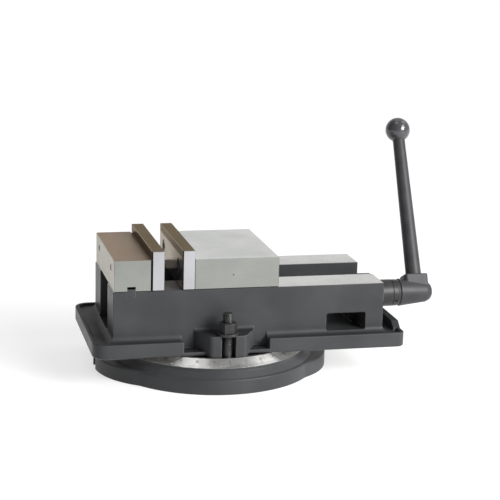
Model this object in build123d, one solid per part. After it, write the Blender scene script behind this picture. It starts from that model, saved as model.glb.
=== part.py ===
from build123d import *
from math import cos, radians, sin, sqrt
import os

# Angle-lock machine vise with 152 mm (6 in) jaws on a graduated swivel base.
# Millimetres. The origin is on the swivel axis, in the plane that the base stands on.
# +X runs along the bed towards the crank, +Y towards the rear and +Z up.

# Swivel base
scale_margin = 11.0
ear_overhang = 16.0
ear_inset = 34.0
ear_blend = 30.0
rim_height = 18.0
rim_fillet = 2.0
base_height = 38.0
scale_drop = 9.5
scale_run = 10.0
scale_foot = 3.5
scale_fillet = 7.0
hold_down_slot = 17.5
hold_down_edge = 17.0
swivel_slot_floor = 13.0
swivel_slot_lip = 24.5
key_slot_width = 16.0
key_slot_depth = 3.5
pivot_radius = 20.0
pivot_recess = 12.0
pivot_spigot = 5.0
pivot_screw_depth = 15.0
pivot_chamfer = 1.0
hub_wall = 12.0
relief_outer = 72.0
relief_depth = 22.0
relief_rib = 9.0

# Bed casting
jaw_width = 152.0
rail_top = 114.0
channel_width = 60.0
screw_depth = 33.6
bed_left = -133.0
bed_right = 198.0
flange_left = -158.0
flange_right = 222.0
flange_overhang = 19.0
flange_thickness = 18.0
flange_foot_chamfer = 1.5
flange_edge_fillet = 1.2
flange_rim = 5.0
flange_rim_height = 3.0
flange_left_corner = 17.0
flange_right_corner = 9.0
foot_fillet = 8.0
end_lip_inset = 11.0
end_lip_room = 24.0
end_lip_slope = 9.0
end_lip_thickness = 9.0
screw_room = 24.9
post_length = 46.0
undercut_reach = 14.0
rail_depth = 22.0
bridge_length = 28.0
bridge_shoulder_rise = 9.6
window_left = 126.5
window_right = 176.0
window_bottom = 57.0
window_top = 78.5
window_corner = 2.5

# Swivel clamps, one at the front and one at the rear
lug_half_width = 21.0
lug_root_half_width = 37.0
lug_end_wall = 8.0
lug_corner = 6.0
lug_slot_gap = 2.5
lug_top = 63.5
lug_fillet = 5.0
pocket_half_length = 52.0
pocket_floor = 43.0
clamp_offset = 20.0
clamp_bolt_radius = 6.0
clamp_bolt_top = 90.0
clamp_bolt_chamfer = 1.2
clamp_throat_gap = 1.0
clamp_head = 20.0
clamp_head_height = 9.0
clamp_head_gap = 2.0
washer_wall = 7.0
washer_thickness = 3.0
washer_chamfer = 0.6
nut_wall = 3.5
nut_height = 12.0
nut_chamfer = 1.2

# Jaws and their hardened plates
fixed_jaw_left = -132.0
fixed_jaw_length = 44.5
fixed_jaw_height = 37.5
movable_jaw_length = 102.0
movable_jaw_height = 36.8
plate_thickness = 14.8
plate_height = 47.5
jaw_opening = 21.6
plate_seam = 1.6
plate_chamfer = 0.5
plate_bolt_edge = 26.8
plate_bolt_height = 23.8
plate_screw_radius = 5.0
plate_screw_head_radius = 8.0
plate_screw_head = 10.0
plate_screw_length = 30.0
plate_screw_key = 8.0
screw_tip_room = 2.0
head_chamfer_share = 0.08
key_depth_share = 0.55
outer_hole_radius = 4.0
outer_hole_depth = 16.0
gauge_mark_radius = 0.8
gauge_mark_depth = 2.0
gauge_mark_x = 10.2
gauge_mark_height = 16.6
jaw_foot_chamfer = 0.6
jaw_end_chamfer = 0.6
movable_jaw_chamfer = 0.8
way_chamfer = 0.5
key_width = 10.0
key_notch = 6.0
key_rise = 3.0
key_seat = 6.0
key_left = -116.6
jaw_bolt_x = -97.0
jaw_bolt_edge = 17.0
jaw_bolt_radius = 6.0
jaw_bolt_head_radius = 9.0
jaw_bolt_head = 12.0
jaw_bolt_bite = 17.0
jaw_bolt_recess = 2.0
jaw_bolt_key = 10.0

# Angle-lock carriage under the movable jaw
cavity_left = -20.0
cavity_length = 50.0
cavity_half_width = 24.0
ball_radius = 11.5
ball_lift = 2.0
carriage_left = -28.0
carriage_length = 64.0
carriage_chamfer = 2.0
boss_half_width = 20.0
boss_rise = 22.0
boss_gap = 2.0
boss_root = 5.0
boss_right = 22.0
set_screw_radius = 6.0
set_screw_length = 18.0
set_screw_chamfer = 1.0
set_screw_key = 6.0
set_screw_key_depth = 8.0

# Lead screw and its thrust bearing
screw_radius = 14.0
screw_tip = -50.0
screw_tip_chamfer = 2.0
bushing_wall = 3.0
bushing_length = 14.0
collar_length = 5.6
shank_radius = 10.0
race_width = 7.0
race_thickness = 1.0
cage_thickness = 2.0
roller_radius = 0.9
roller_length = 5.0
roller_count = 18
roller_gap = 0.1
cage_bore_gap = 0.6
bearing_pocket_gap = 0.4
cap_wall = 8.4
cap_flange = 8.0
cap_chamfer = 1.0
cap_nose_chamfer = 0.8
cap_nose_end = 233.2
cap_screw_radius = 2.0
cap_screw_head_radius = 3.5
cap_screw_head = 4.0
cap_screw_length = 18.0
cap_screw_edge = 4.4
cap_screw_key = 3.0
seal_width = 4.0
seal_length = 6.0
seal_recess = 0.4
lock_collar_length = 5.8
lock_collar_wall = 6.8
lock_screw_radius = 2.0
lock_screw_length = 6.0
lock_screw_key = 2.5
lock_screw_key_depth = 2.5
lock_screw_turn = 115.0
hex_step = 0.5
hex_end = 283.5

# Crank
crank_angle = 26.8
hub_left = 239.4
hub_neck_length = 3.4
hub_neck_chamfer = 0.8
hub_neck_wall = 6.2
hub_wall_at_neck = 7.4
hub_wall_at_end = 3.4
hub_dome_reach = 6.2
hub_dome_share = 0.74
hub_taper_end = 279.0
hub_right = 288.4
boss_centre = 267.0
boss_length = 31.0
boss_width = 24.0
boss_wall = 11.3
boss_foot = 6.0
boss_corner = 4.0
boss_chamfer = 0.8
bar_radius = 10.0
bar_top_radius = 7.8
bar_tenon_radius = 6.0
bar_tenon_wall = 2.5
knob_centre = 216.5
knob_radius = 16.0
knob_tenon_radius = 5.0
knob_tenon_length = 11.0

# Fits and clearances
slide_gap = 0.05
running_fit = 0.05
guide_gap = 0.5
plate_lift = 0.3
bolt_clearance = 0.5
socket_gap = 0.2
spigot_fit = 0.1
thrust_gap = 0.2
screw_end_gap = 1.0
breakthrough = 1.0

# Sizes that follow
half_width = jaw_width / 2
channel_half = channel_width / 2
rail_width = half_width - channel_half
cavity_half = channel_half + undercut_reach
screw_height = rail_top - screw_depth
channel_floor = screw_height - screw_room
bridge_shoulder = screw_height + bridge_shoulder_rise
flange_half_depth = half_width + flange_overhang
end_lip_half_width = half_width - end_lip_inset
swivel_slot_radius = half_width + clamp_offset
swivel_slot_width = clamp_head + 2 * clamp_head_gap
swivel_slot_throat = 2 * (clamp_bolt_radius + clamp_throat_gap)
scale_inner_radius = swivel_slot_radius + swivel_slot_width / 2
bed_bottom = base_height + slide_gap
pivot_top = bed_bottom + pivot_spigot
flange_top = bed_bottom + flange_thickness
tray_floor = flange_top - flange_rim_height
rail_underside = rail_top - rail_depth
bridge_left = bed_right - bridge_length
undercut_left = bed_left + post_length
undercut_right = bridge_left
scale_radius = scale_inner_radius + scale_run
base_radius = scale_radius + scale_margin
ear_reach = base_radius + ear_overhang
ear_radius = base_radius - ear_inset
hold_down_reach = ear_reach - hold_down_edge
lug_reach = swivel_slot_radius + lug_end_wall
lug_slot = 2 * (clamp_bolt_radius + lug_slot_gap)
washer_radius = clamp_bolt_radius + washer_wall
nut_across_flats = 2 * (clamp_bolt_radius + nut_wall)
pivot_bottom = key_slot_depth + pivot_recess
scale_bottom = base_height - scale_drop
fixed_jaw_right = fixed_jaw_left + fixed_jaw_length
fixed_plate_right = fixed_jaw_right + plate_thickness
movable_plate_left = fixed_plate_right + jaw_opening
movable_jaw_left = movable_plate_left + plate_thickness
movable_jaw_right = movable_jaw_left + movable_jaw_length
movable_floor = rail_top + slide_gap
plate_bolt_z = rail_top + plate_bolt_height
plate_bolt_spacing = jaw_width - 2 * plate_bolt_edge
jaw_bolt_y = half_width - jaw_bolt_edge
jaw_bolt_head_z = bed_bottom + jaw_bolt_head + jaw_bolt_recess
ball_height = ball_radius + ball_lift
cavity_height = 2 * ball_height
boss_top = rail_top + boss_rise
seat_left = bridge_left + bushing_length
collar_start = seat_left + thrust_gap
shank_start = collar_start + collar_length
cage_start = shank_start + race_thickness
outer_race_start = cage_start + cage_thickness
spigot_start = outer_race_start + race_thickness
lock_collar_start = cap_nose_end + thrust_gap
cage_inner_radius = shank_radius + cage_bore_gap
cage_outer_radius = shank_radius + race_width
collar_radius = cage_outer_radius + thrust_gap
bearing_pocket_radius = collar_radius + bearing_pocket_gap
cap_radius = bearing_pocket_radius + cap_wall
cap_nose_radius = cage_outer_radius
end_lip_height = end_lip_room - cap_nose_radius
cap_screw_circle = cap_radius - cap_screw_edge
seal_outer_radius = shank_radius + seal_width
lock_collar_radius = shank_radius + lock_collar_wall
hex_across_flats = 2 * (shank_radius - hex_step)
hub_neck_radius = shank_radius + hub_neck_wall
bar_tenon_start = shank_radius + bar_tenon_wall
boss_height = shank_radius + boss_wall
hub_radius = shank_radius + hub_wall_at_neck
hub_small_radius = shank_radius + hub_wall_at_end
plate_screw_bite = plate_screw_length + bolt_clearance + screw_tip_room - plate_thickness


def block(x0, x1, y0, y1, z0, z1):
    """A box between two opposite corners."""
    return Pos((x0 + x1) / 2, (y0 + y1) / 2, (z0 + z1) / 2) * Box(x1 - x0, y1 - y0, z1 - z0)


def post(radius, x, y, z0, z1):
    """An upright cylinder."""
    return Pos(x, y, (z0 + z1) / 2) * Cylinder(radius, z1 - z0)


def shaft(radius, x0, x1, y=0.0, z=screw_height):
    """A cylinder along X, on the screw's axis unless told otherwise."""
    return Pos((x0 + x1) / 2, y, z) * Rot(0, 90, 0) * Cylinder(radius, x1 - x0)


def tube(outer, inner, x0, x1):
    """A ring on the screw's axis."""
    return shaft(outer, x0, x1) - shaft(inner, x0, x1)


def hex_prism(across_flats, length):
    """A hexagonal bar standing on the XY plane."""
    return extrude(RegularPolygon(across_flats / 2, 6, major_radius=False), length)


def hex_shaft(across_flats, x0, x1):
    """A hexagonal bar on the screw's axis, turned with the crank."""
    turned = Rot(-crank_angle, 0, 0) * Rot(0, 90, 0) * hex_prism(across_flats, x1 - x0)
    return Pos(x0, 0, screw_height) * turned


def edges_at(shape, **limits):
    """The edges whose centres lie at the given X, Y or Z, or at its mirror image."""
    found = shape.edges()
    for axis, value in limits.items():
        found = [e for e in found if abs(abs(getattr(e.center(), axis)) - abs(value)) < 0.02]
    return ShapeList(found)


def cap_screw(radius, head_radius, head, length, key):
    """A socket cap screw with its head's top at the origin, pointing down."""
    screw = post(head_radius, 0, 0, -head, 0)
    screw = chamfer(edges_at(screw, Z=0), head_radius * head_chamfer_share)
    screw += post(radius, 0, 0, -head - length, -head)
    return screw - Pos(0, 0, -head * key_depth_share) * hex_prism(key, head)


def save(name, shape):
    """Writes one sub-part."""
    export_step(shape, "parts/" + name + ".step")


def group(shapes):
    """Identical pieces that share one node."""
    return Compound(children=list(shapes))


def both_sides(shape):
    """The shape and its mirror image across the bed's centre plane."""
    return [shape, mirror(shape, about=Plane.XZ)]


def make_swivel_base():
    """Round casting with two slotted ears, a circular T-slot and a bevelled scale."""
    ear_centre = ear_reach - ear_radius
    outline = Circle(base_radius) + [Pos(s * ear_centre, 0) * Circle(ear_radius) for s in (-1, 1)]
    outline = fillet(outline.vertices(), ear_blend)
    rim = extrude(outline, rim_height)
    rim = fillet(rim.edges().group_by(Axis.Z)[-1], rim_fillet)
    foot_z = scale_bottom - scale_foot
    profile = Polyline(
        (0, rim_height / 2),
        (scale_radius + scale_fillet, rim_height / 2),
        (scale_radius + scale_fillet, rim_height),
        (scale_radius, foot_z),
        (scale_radius, scale_bottom),
        (scale_inner_radius, base_height),
        (0, base_height),
        close=True,
    )
    turntable = revolve(Plane.XZ * make_face(profile), axis=Axis.Z)
    base = rim + turntable
    ring_inner = swivel_slot_radius - swivel_slot_width / 2
    ring_outer = swivel_slot_radius + swivel_slot_width / 2
    throat_inner = swivel_slot_radius - swivel_slot_throat / 2
    throat_outer = swivel_slot_radius + swivel_slot_throat / 2
    base -= post(ring_outer, 0, 0, swivel_slot_floor, swivel_slot_lip) - post(
        ring_inner, 0, 0, swivel_slot_floor, swivel_slot_lip
    )
    base -= post(throat_outer, 0, 0, swivel_slot_lip, base_height) - post(
        throat_inner, 0, 0, swivel_slot_lip, base_height
    )
    base -= post(pivot_radius + running_fit, 0, 0, 0, base_height)
    relief_inner = pivot_radius + hub_wall
    relief = post(relief_outer, 0, 0, 0, relief_depth) - post(relief_inner, 0, 0, 0, relief_depth)
    for turn in (30, 90, 150):
        relief -= Rot(0, 0, turn) * block(
            -relief_outer, relief_outer, -relief_rib / 2, relief_rib / 2, 0, relief_depth
        )
    base -= relief
    for side in (-1, 1):
        base -= post(swivel_slot_width / 2, side * swivel_slot_radius, 0, 0, swivel_slot_floor)
        slot = post(hold_down_slot / 2, side * hold_down_reach, 0, 0, base_height)
        ends = sorted((side * hold_down_reach, side * (ear_reach + breakthrough)))
        slot += block(*ends, -hold_down_slot / 2, hold_down_slot / 2, 0, base_height)
        base -= slot
        ends = sorted((side * (relief_outer + relief_rib), side * ear_reach))
        base -= block(*ends, -key_slot_width / 2, key_slot_width / 2, 0, key_slot_depth)
    return base


def make_lug():
    """The front clamp lug as a solid block, before its bolt slot is cut."""
    outline = Polyline(
        (-lug_root_half_width, -half_width + rail_width / 2),
        (-lug_root_half_width, -half_width),
        (-lug_half_width, -lug_reach),
        (lug_half_width, -lug_reach),
        (lug_root_half_width, -half_width),
        (lug_root_half_width, -half_width + rail_width / 2),
        close=True,
    )
    lug = Pos(0, 0, bed_bottom) * extrude(make_face(outline), lug_top - bed_bottom)
    corners = [
        e
        for e in lug.edges().filter_by(Axis.Z)
        if abs(e.center().Y + lug_reach) < 0.01
    ]
    return fillet(ShapeList(corners), lug_corner)


def make_vise_body():
    """The bed casting: flange tray, two box ways with a channel between, and clamp lugs."""
    length = flange_right - flange_left
    middle = (flange_right + flange_left) / 2
    outline = Pos(middle, 0) * Rectangle(length, 2 * flange_half_depth)
    left = ShapeList([v for v in outline.vertices() if v.X < middle])
    outline = fillet(left, flange_left_corner)
    right = outline.vertices().sort_by(Axis.X)[-2:]
    outline = fillet(right, flange_right_corner)
    flange = Pos(0, 0, bed_bottom) * extrude(outline, flange_thickness)
    flange = chamfer(flange.edges().group_by(Axis.Z)[0], flange_foot_chamfer)
    inner = offset(outline, -flange_rim)
    flange -= Pos(0, 0, tray_floor) * extrude(inner, flange_thickness)
    rim_edges = [e for e in flange.edges() if abs(e.center().Z - flange_top) < 0.01]
    flange = fillet(ShapeList(rim_edges), flange_edge_fillet)
    walls = block(bed_left, bed_right, -half_width, half_width, bed_bottom, rail_top)
    body = flange + walls
    foot = [
        e
        for e in body.edges().filter_by(GeomType.LINE)
        if abs(e.center().Z - tray_floor) < 0.01
        and (
            abs(abs(e.center().Y) - half_width) < 0.01
            or abs(e.center().X - bed_left) < 0.01
            or abs(e.center().X - bed_right) < 0.01
        )
    ]
    body = fillet(ShapeList(foot), foot_fillet)
    lip_foot = end_lip_half_width + end_lip_slope
    lip_outline = Polyline(
        (-lip_foot, tray_floor),
        (-lip_foot, flange_top),
        (-end_lip_half_width, flange_top + end_lip_height),
        (end_lip_half_width, flange_top + end_lip_height),
        (lip_foot, flange_top),
        (lip_foot, tray_floor),
        close=True,
    )
    lip = extrude(Plane.YZ * make_face(lip_outline), end_lip_thickness)
    body += Pos(flange_right - end_lip_thickness, 0, 0) * lip
    for sign in (-1, 1):
        ends = sorted((sign * half_width, sign * (flange_half_depth + breakthrough)))
        top = tray_floor + foot_fillet + breakthrough
        pocket = block(-pocket_half_length, pocket_half_length, *ends, pocket_floor, top)
        body -= pocket
    lug = make_lug()
    for piece in both_sides(lug):
        body += piece
    lug_root = [
        e
        for e in body.edges().filter_by(Axis.X)
        if abs(abs(e.center().Y) - half_width) < 0.01 and abs(e.center().Z - lug_top) < 0.01
    ]
    body = fillet(ShapeList(lug_root), lug_fillet)
    cut_top = lug_top + breakthrough
    slot = post(lug_slot / 2, 0, -swivel_slot_radius, 0, cut_top)
    slot += block(
        -lug_slot / 2, lug_slot / 2, -lug_reach - breakthrough, -swivel_slot_radius, 0, cut_top
    )
    for piece in both_sides(slot):
        body -= piece
    way_edges = [e for e in body.edges() if abs(e.center().Z - rail_top) < 0.01]
    body = chamfer(ShapeList(way_edges), way_chamfer)
    above = rail_top + breakthrough
    body -= block(
        bed_left - breakthrough, bridge_left, -channel_half, channel_half, channel_floor, above
    )
    body -= block(
        undercut_left, undercut_right, -cavity_half, cavity_half, channel_floor, rail_underside
    )
    notch_end = bed_right + breakthrough
    notch = block(bridge_left, notch_end, -channel_half, channel_half, bridge_shoulder, above)
    body -= notch - shaft(cap_radius, bridge_left, bed_right)
    body -= shaft(screw_radius + bushing_wall, bridge_left, seat_left)
    body -= shaft(bearing_pocket_radius, seat_left, bed_right)
    body -= shaft(cap_radius + bolt_clearance, bed_right, bed_right + foot_fillet)
    for y, z in cap_screw_places():
        tapped = bed_right + cap_flange - cap_screw_length
        body -= shaft(cap_screw_radius, tapped, bed_right, y, z)
    reach = half_width + foot_fillet
    window = block(window_left, window_right, -reach, reach, window_bottom, window_top)
    window = fillet(window.edges().filter_by(Axis.Y), window_corner)
    window -= block(window_left, window_right, -channel_half, channel_half, 0, rail_top)
    body -= window
    body -= block(
        key_left,
        key_left + key_width,
        -half_width - breakthrough,
        half_width + breakthrough,
        rail_top - key_seat,
        above,
    )
    for y in (-jaw_bolt_y, jaw_bolt_y):
        body -= post(jaw_bolt_radius + bolt_clearance, jaw_bolt_x, y, 0, above)
        body -= post(jaw_bolt_head_radius + bolt_clearance, jaw_bolt_x, y, 0, jaw_bolt_head_z)
    body -= post(pivot_radius, 0, 0, bed_bottom, pivot_top)
    body -= post(plate_screw_radius, 0, 0, bed_bottom, bed_bottom + pivot_screw_depth)
    return body


def make_swivel_pivot():
    """Turned spigot that centres the bed on the base."""
    pivot = post(pivot_radius, 0, 0, pivot_bottom, pivot_top)
    pivot = chamfer(pivot.edges().group_by(Axis.Z)[0], pivot_chamfer)
    pivot -= post(plate_screw_radius, 0, 0, pivot_bottom, pivot_top)
    return pivot - post(plate_screw_head_radius, 0, 0, pivot_bottom, pivot_bottom + plate_screw_head)


def make_pivot_screw():
    """Cap screw that holds the pivot up against the bed."""
    tip = bed_bottom + pivot_screw_depth - screw_end_gap
    length = tip - pivot_bottom - plate_screw_head
    head = (plate_screw_head_radius, plate_screw_head)
    screw = cap_screw(plate_screw_radius, *head, length, plate_screw_key)
    return Pos(0, 0, pivot_bottom) * Rot(180, 0, 0) * screw


def make_clamp_bolt():
    """Front T-bolt: a square head in the base's slot and a threaded stem."""
    head_top = swivel_slot_lip - slide_gap
    half = clamp_head / 2
    bolt = block(
        -half,
        half,
        -swivel_slot_radius - half,
        -swivel_slot_radius + half,
        head_top - clamp_head_height,
        head_top,
    )
    stem = post(clamp_bolt_radius, 0, -swivel_slot_radius, head_top, clamp_bolt_top)
    return bolt + chamfer(stem.edges().group_by(Axis.Z)[-1], clamp_bolt_chamfer)


def make_clamp_washer():
    """Front clamp washer, lying on the lug."""
    hole = clamp_bolt_radius + bolt_clearance
    washer = post(washer_radius, 0, -swivel_slot_radius, lug_top, lug_top + washer_thickness)
    washer = chamfer(washer.edges().group_by(Axis.Z)[-1], washer_chamfer)
    return washer - post(hole, 0, -swivel_slot_radius, lug_top, lug_top + washer_thickness)


def make_clamp_nut():
    """Front clamp nut with chamfered corners."""
    bottom = lug_top + washer_thickness + slide_gap
    nut = Pos(0, -swivel_slot_radius, bottom) * hex_prism(nut_across_flats, nut_height)
    corner = nut_across_flats / sqrt(3)
    dome = post(corner, 0, -swivel_slot_radius, bottom, bottom + nut_height)
    dome = chamfer(edges_at(dome, Z=bottom + nut_height), nut_chamfer)
    nut = nut & dome
    bore = clamp_bolt_radius + running_fit
    return nut - post(bore, 0, -swivel_slot_radius, bottom, bottom + nut_height)


def seam_edges(jaw, x):
    """The upright and top edges of a jaw block's face at the given X."""
    return ShapeList(
        [
            e
            for e in jaw.edges()
            if abs(e.center().X - x) < 0.01 and e.center().Z > rail_top + 1
        ]
    )


def make_fixed_jaw():
    """Ground steel block keyed and bolted to the rails' left end."""
    jaw = block(
        fixed_jaw_left,
        fixed_jaw_right,
        -half_width,
        half_width,
        rail_top,
        rail_top + fixed_jaw_height,
    )
    jaw = chamfer(seam_edges(jaw, fixed_jaw_right), plate_seam)
    jaw = chamfer(seam_edges(jaw, fixed_jaw_left), jaw_end_chamfer)
    jaw -= block(
        key_left, key_left + key_width, -half_width, half_width, rail_top, rail_top + key_notch
    )
    jaw = chamfer(jaw.edges().group_by(Axis.Z)[0], jaw_foot_chamfer)
    for y in (-plate_bolt_spacing / 2, plate_bolt_spacing / 2):
        hole_end = fixed_jaw_right - plate_screw_bite
        jaw -= shaft(plate_screw_radius, hole_end, fixed_jaw_right, y, plate_bolt_z)
        outer_end = fixed_jaw_left + outer_hole_depth
        jaw -= shaft(outer_hole_radius, fixed_jaw_left, outer_end, y, plate_bolt_z)
    for y in (-jaw_bolt_y, jaw_bolt_y):
        jaw -= post(jaw_bolt_radius, jaw_bolt_x, y, rail_top, rail_top + jaw_bolt_bite)
    return jaw


def make_fixed_jaw_key():
    """Front key that squares the fixed jaw to the rails."""
    return block(
        key_left,
        key_left + key_width,
        -half_width,
        -channel_half,
        rail_top - key_seat,
        rail_top + key_rise,
    )


def make_fixed_jaw_bolt():
    """Front hold-down bolt, up through the rail's post into the jaw."""
    length = rail_top + jaw_bolt_bite - screw_end_gap - jaw_bolt_head_z
    bolt = cap_screw(jaw_bolt_radius, jaw_bolt_head_radius, jaw_bolt_head, length, jaw_bolt_key)
    lowered = jaw_bolt_head_z - jaw_bolt_head
    return Pos(jaw_bolt_x, -jaw_bolt_y, lowered) * Rot(180, 0, 0) * bolt


def make_jaw_plate(left, bottom, counterbore_left):
    """Hardened jaw plate with two counterbored holes, from its left face's X."""
    plate = block(left, left + plate_thickness, -half_width, half_width, bottom, rail_top + plate_height)
    plate = chamfer(plate.edges(), plate_chamfer)
    depth = plate_screw_head + bolt_clearance
    for y in (-plate_bolt_spacing / 2, plate_bolt_spacing / 2):
        hole = plate_screw_radius + bolt_clearance
        plate -= shaft(hole, left, left + plate_thickness, y, plate_bolt_z)
        start = left if counterbore_left else left + plate_thickness - depth
        wide = plate_screw_head_radius + bolt_clearance
        plate -= shaft(wide, start, start + depth, y, plate_bolt_z)
    return plate


def make_plate_screw(head_x, pointing, y):
    """Jaw-plate screw with its head's face at the given X, pointing along -X or +X."""
    screw = cap_screw(
        plate_screw_radius,
        plate_screw_head_radius,
        plate_screw_head,
        plate_screw_length - plate_screw_head,
        plate_screw_key,
    )
    return Pos(head_x, y, plate_bolt_z) * Rot(0, -90 * pointing, 0) * screw


def ball_centre():
    """Where the half ball sits in the movable jaw's cavity."""
    return Vector(cavity_left, 0, rail_top + ball_height)


def lock_plane_side(offset_distance):
    """A half space above the 45 degree locking face, moved along its normal."""
    centre = ball_centre()
    size = jaw_width
    half_space = Pos(0, 0, size / 2 + offset_distance) * Box(size, size, size)
    return Pos(centre.X, centre.Y, centre.Z) * Rot(0, 45, 0) * half_space


def make_movable_jaw():
    """Ground block that slides on the rails, hollow below for the carriage's boss."""
    jaw = block(
        movable_jaw_left,
        movable_jaw_right,
        -half_width,
        half_width,
        movable_floor,
        rail_top + movable_jaw_height,
    )
    for x in (movable_jaw_left, movable_jaw_right):
        jaw = chamfer(seam_edges(jaw, x), movable_jaw_chamfer)
    jaw = chamfer(jaw.edges().group_by(Axis.Z)[0], jaw_foot_chamfer)
    cavity_right = cavity_left + cavity_length
    jaw -= block(
        cavity_left,
        cavity_right,
        -cavity_half_width,
        cavity_half_width,
        movable_floor,
        rail_top + cavity_height,
    )
    centre = ball_centre()
    jaw -= Pos(centre.X, centre.Y, centre.Z) * Sphere(ball_radius + running_fit)
    jaw -= shaft(set_screw_radius, cavity_right, movable_jaw_right, 0, centre.Z)
    for y in (-plate_bolt_spacing / 2, plate_bolt_spacing / 2):
        hole_end = movable_jaw_left + plate_screw_bite
        jaw -= shaft(plate_screw_radius, movable_jaw_left, hole_end, y, plate_bolt_z)
    mark = Pos(gauge_mark_x, -half_width, rail_top + gauge_mark_height) * Rot(90, 0, 0)
    return jaw - mark * Cylinder(gauge_mark_radius, 2 * gauge_mark_depth)


def make_half_ball():
    """Hardened half ball between the carriage's sloping face and the jaw's socket."""
    centre = ball_centre()
    ball = Pos(centre.X, centre.Y, centre.Z) * Sphere(ball_radius)
    return ball - lock_plane_side(0)


def make_carriage_nut():
    """Nut that runs on the screw below the rails, with a sloping boss up into the jaw."""
    right = carriage_left + carriage_length
    nut = block(
        carriage_left,
        right,
        -cavity_half + guide_gap,
        cavity_half - guide_gap,
        channel_floor + guide_gap,
        rail_underside - guide_gap,
    )
    nut = chamfer(nut.edges().filter_by(Axis.X), carriage_chamfer)
    nut += block(
        carriage_left,
        right,
        -channel_half + guide_gap,
        channel_half - guide_gap,
        rail_underside - boss_root,
        rail_top - guide_gap,
    )
    boss = block(
        cavity_left + boss_gap,
        boss_right,
        -boss_half_width,
        boss_half_width,
        rail_top - boss_root,
        boss_top,
    )
    nut += boss & lock_plane_side(slide_gap)
    centre = ball_centre()
    nut -= Pos(centre.X, centre.Y, centre.Z) * Sphere(ball_radius + socket_gap) - lock_plane_side(slide_gap)
    return nut - shaft(screw_radius + running_fit, carriage_left, right)


def make_jaw_set_screw():
    """Grub screw that takes up the slack behind the carriage's boss."""
    start = boss_right + slide_gap
    z = ball_centre().Z
    screw = shaft(set_screw_radius, start, start + set_screw_length, 0, z)
    screw = chamfer(screw.edges().group_by(Axis.X)[0], set_screw_chamfer)
    key = Rot(0, -90, 0) * hex_prism(set_screw_key, set_screw_key_depth)
    return screw - Pos(start + set_screw_length, 0, z) * key


def make_lead_screw():
    """Screw with a thrust collar, a plain shank and a hexagonal end for the crank."""
    screw = shaft(screw_radius, screw_tip, collar_start)
    screw = chamfer(screw.edges().group_by(Axis.X)[0], screw_tip_chamfer)
    screw += shaft(collar_radius, collar_start, shank_start)
    screw += shaft(shank_radius, shank_start, hub_left)
    end = hex_shaft(hex_across_flats, hub_left, hex_end)
    return screw + end


def make_screw_bushing():
    """Bronze bush in the bridge at the bed's right end."""
    return tube(screw_radius + bushing_wall, screw_radius + running_fit, bridge_left, seat_left)


def make_race(start):
    """Flat hardened washer of the needle thrust bearing."""
    return tube(cage_outer_radius, shank_radius + running_fit, start, start + race_thickness)


def roller_places():
    """The turn of each needle roller about the screw."""
    return [360 / roller_count * i for i in range(roller_count)]


def roller_middle():
    """The radius at which the rollers' middles run."""
    return (cage_inner_radius + cage_outer_radius) / 2


def on_screw(shape, x, turn):
    """Places a shape made along +Z from the screw's axis at X, turned about the axis."""
    return Pos(x, 0, screw_height) * Rot(turn, 0, 0) * shape


def make_needle_cage():
    """Cage of the needle thrust bearing, with one window for each roller."""
    cage_left = cage_start + thrust_gap
    cage_right = outer_race_start - thrust_gap
    cage = tube(cage_outer_radius - roller_gap, cage_inner_radius, cage_left, cage_right)
    across = 2 * (roller_radius + roller_gap)
    pocket = Pos(0, 0, roller_middle()) * Box(2 * cage_thickness, across, roller_length + 2 * roller_gap)
    for turn in roller_places():
        cage -= on_screw(pocket, cage_start + cage_thickness / 2, turn)
    return cage


def make_needle_rollers():
    """The rollers, lying like the spokes of a wheel."""
    roller = Pos(0, 0, roller_middle()) * Cylinder(roller_radius, roller_length)
    middle = cage_start + cage_thickness / 2
    return group(on_screw(roller, middle, turn) for turn in roller_places())


def cap_screw_places():
    """The Y and Z of each screw of the bearing cap."""
    return [
        (
            cap_screw_circle * cos(radians(turn)),
            screw_height + cap_screw_circle * sin(radians(turn)),
        )
        for turn in (45, 135, 225, 315)
    ]


def make_bearing_cap():
    """Turned cap that takes the screw's thrust, with a long nose round the shank."""
    cap = shaft(cap_radius, bed_right, bed_right + cap_flange)
    cap = chamfer(cap.edges().group_by(Axis.X)[-1], cap_chamfer)
    cap += shaft(cap_nose_radius, bed_right + cap_flange, cap_nose_end)
    cap = chamfer(cap.edges().group_by(Axis.X)[-1], cap_nose_chamfer)
    cap += shaft(bearing_pocket_radius - spigot_fit, spigot_start, bed_right)
    cap -= shaft(shank_radius + running_fit, spigot_start, cap_nose_end)
    cap -= shaft(seal_outer_radius, cap_nose_end - seal_length, cap_nose_end)
    for y, z in cap_screw_places():
        cap -= shaft(cap_screw_radius, bed_right, bed_right + cap_flange, y, z)
        sunk = bed_right + cap_flange - cap_screw_head
        cap -= shaft(cap_screw_head_radius, sunk, bed_right + cap_flange, y, z)
    return cap


def make_cap_screws():
    """Four socket screws that hold the bearing cap to the bridge."""
    screw = cap_screw(
        cap_screw_radius,
        cap_screw_head_radius,
        cap_screw_head,
        cap_screw_length - cap_screw_head - screw_end_gap,
        cap_screw_key,
    )
    turned = Rot(0, 90, 0) * screw
    return group(Pos(bed_right + cap_flange, y, z) * turned for y, z in cap_screw_places())


def make_shaft_seal():
    """Felt ring that keeps chips out of the cap's nose."""
    left = cap_nose_end - seal_length
    return tube(seal_outer_radius, shank_radius + running_fit, left, cap_nose_end - seal_recess)


def make_lock_collar():
    """Steel ring that stops the screw from sliding inwards."""
    end = lock_collar_start + lock_collar_length
    collar = tube(lock_collar_radius, shank_radius, lock_collar_start, end)
    middle = lock_collar_start + lock_collar_length / 2
    hole = Pos(0, 0, shank_radius) * Cylinder(
        lock_screw_radius, lock_collar_radius, align=(Align.CENTER, Align.CENTER, Align.MIN)
    )
    return collar - on_screw(hole, middle, lock_screw_turn)


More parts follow.
